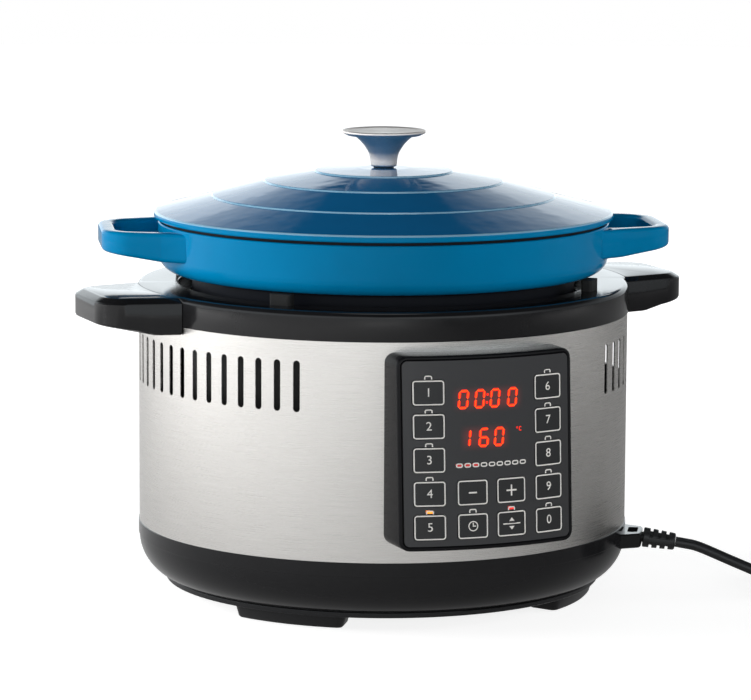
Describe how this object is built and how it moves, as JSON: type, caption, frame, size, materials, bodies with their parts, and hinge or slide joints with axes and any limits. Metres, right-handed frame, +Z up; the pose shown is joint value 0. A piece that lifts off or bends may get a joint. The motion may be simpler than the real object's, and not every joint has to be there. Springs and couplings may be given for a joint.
{
  "type": "slow cooker",
  "caption": "Electric slow cooker: blue enamelled cast-iron pot and stepped lid standing in a round brushed-steel heater housing with a push-button panel and a coiled mains cord.",
  "frame": {"origin": "on the floor under the middle of the cooker, midway between the panel's face and the back; the pot's axis stands 11.45 mm behind it", "axes": "+Z up, -Y out of the control panel, +X to the right seen from the front"},
  "size_m": [0.5521, 0.3262, 0.2859],
  "materials": {
    "blue_enamel": "glossy vitreous enamel over cast iron",
    "knob_steel": "polished, slightly satin",
    "screw_steel": "zinc plated",
    "band_steel": "brushed around",
    "bowl_steel": "plated, dull",
    "black_plastic": "fine moulded grain",
    "silicone": "matt",
    "heater_aluminium": "cast, turned face",
    "element_steel": "heat-tinted",
    "fascia_black": "gloss",
    "key_black": "gloss with white outline",
    "light_guide": "clear moulded",
    "display_red": "dark red filter",
    "board_green": "solder resist",
    "component_dark": "moulded",
    "winding_core": "varnished",
    "cord_black": "satin",
    "pin_brass": "plated"
  },
  "bodies": {
    "housing": {"top_ring": "black_plastic", "left_handle": "black_plastic", "right_handle": "black_plastic", "ring_screws": "screw_steel", "support_pads": "silicone", "outer_shell": "band_steel", "inner_bowl": "bowl_steel", "heating_plate": "heater_aluminium", "heating_element": "element_steel", "heater_posts": "screw_steel", "thermal_cutout": "component_dark", "sensor_spring": "screw_steel", "sensor_guide": "component_dark", "base": "black_plastic", "base_plate": "black_plastic", "base_screws": "screw_steel", "front_left_foot": "black_plastic", "front_right_foot": "black_plastic", "rear_left_foot": "black_plastic", "rear_right_foot": "black_plastic", "foot_pads": "silicone", "power_board": "board_green", "relay": "component_dark", "transformer": "winding_core", "filter_capacitor": "component_dark", "board_screws": "screw_steel", "panel_housing": "black_plastic", "panel_fascia": "fascia_black", "light_pipes": "light_guide", "display_board": "board_green", "time_display": "display_red", "temperature_display": "display_red", "key_switches": "component_dark", "panel_screws": "screw_steel", "cord_boot": "cord_black", "cord_lead": "cord_black", "cord_coil": "cord_black", "coil_tie": "black_plastic", "plug_body": "cord_black", "plug_pins": "pin_brass"},
    "pot": {"pot": "blue_enamel"},
    "lid": {"lid": "blue_enamel", "lid_knob": "knob_steel", "knob_washer": "silicone", "knob_screw": "screw_steel"},
    "sensor": {"sensor_cap": "heater_aluminium"},
    "slow_cook_key": {"slow_cook_key": "key_black"},
    "sear_key": {"sear_key": "key_black"},
    "soup_key": {"soup_key": "key_black"},
    "manual_key": {"manual_key": "key_black"},
    "bake_key": {"bake_key": "key_black"},
    "minus_key": {"minus_key": "key_black"},
    "plus_key": {"plus_key": "key_black"},
    "delay_key": {"delay_key": "key_black"},
    "temp_timer_key": {"temp_timer_key": "key_black"},
    "braise_key": {"braise_key": "key_black"},
    "stew_key": {"stew_key": "key_black"},
    "roast_key": {"roast_key": "key_black"},
    "stir_fry_key": {"stir_fry_key": "key_black"},
    "keep_warm_key": {"keep_warm_key": "key_black"}
  },
  "joints": [
    {"name": "pot_lift", "type": "slide", "parent": "housing", "child": "pot", "axis": [0, 0, 1], "range_m": [0, 0.2]},
    {"name": "lid_lift", "type": "slide", "parent": "pot", "child": "lid", "axis": [0, 0, 1], "range_m": [0, 0.1]},
    {"name": "sensor_rise", "type": "slide", "parent": "housing", "child": "sensor", "axis": [0, 0, 1], "range_m": [0, 0.003], "deforming": ["sensor_spring"]},
    {"name": "slow_cook_press", "type": "slide", "parent": "housing", "child": "slow_cook_key", "axis": [0, 1, 0], "range_m": [0, 0.0005], "stiffness_N_per_m": 800, "springref_m": -0.0005},
    {"name": "sear_press", "type": "slide", "parent": "housing", "child": "sear_key", "axis": [0, 1, 0], "range_m": [0, 0.0005], "stiffness_N_per_m": 800, "springref_m": -0.0005},
    {"name": "soup_press", "type": "slide", "parent": "housing", "child": "soup_key", "axis": [0, 1, 0], "range_m": [0, 0.0005], "stiffness_N_per_m": 800, "springref_m": -0.0005},
    {"name": "manual_press", "type": "slide", "parent": "housing", "child": "manual_key", "axis": [0, 1, 0], "range_m": [0, 0.0005], "stiffness_N_per_m": 800, "springref_m": -0.0005},
    {"name": "bake_press", "type": "slide", "parent": "housing", "child": "bake_key", "axis": [0, 1, 0], "range_m": [0, 0.0005], "stiffness_N_per_m": 800, "springref_m": -0.0005},
    {"name": "minus_press", "type": "slide", "parent": "housing", "child": "minus_key", "axis": [0, 1, 0], "range_m": [0, 0.0005], "stiffness_N_per_m": 800, "springref_m": -0.0005},
    {"name": "plus_press", "type": "slide", "parent": "housing", "child": "plus_key", "axis": [0, 1, 0], "range_m": [0, 0.0005], "stiffness_N_per_m": 800, "springref_m": -0.0005},
    {"name": "delay_press", "type": "slide", "parent": "housing", "child": "delay_key", "axis": [0, 1, 0], "range_m": [0, 0.0005], "stiffness_N_per_m": 800, "springref_m": -0.0005},
    {"name": "temp_timer_press", "type": "slide", "parent": "housing", "child": "temp_timer_key", "axis": [0, 1, 0], "range_m": [0, 0.0005], "stiffness_N_per_m": 800, "springref_m": -0.0005},
    {"name": "braise_press", "type": "slide", "parent": "housing", "child": "braise_key", "axis": [0, 1, 0], "range_m": [0, 0.0005], "stiffness_N_per_m": 800, "springref_m": -0.0005},
    {"name": "stew_press", "type": "slide", "parent": "housing", "child": "stew_key", "axis": [0, 1, 0], "range_m": [0, 0.0005], "stiffness_N_per_m": 800, "springref_m": -0.0005},
    {"name": "roast_press", "type": "slide", "parent": "housing", "child": "roast_key", "axis": [0, 1, 0], "range_m": [0, 0.0005], "stiffness_N_per_m": 800, "springref_m": -0.0005},
    {"name": "stir_fry_press", "type": "slide", "parent": "housing", "child": "stir_fry_key", "axis": [0, 1, 0], "range_m": [0, 0.0005], "stiffness_N_per_m": 800, "springref_m": -0.0005},
    {"name": "keep_warm_press", "type": "slide", "parent": "housing", "child": "keep_warm_key", "axis": [0, 1, 0], "range_m": [0, 0.0005], "stiffness_N_per_m": 800, "springref_m": -0.0005}
  ],
  "couplings": [
    {"joint": "sensor_rise", "follows": "pot_lift", "ratio": 0.015}
  ]
}
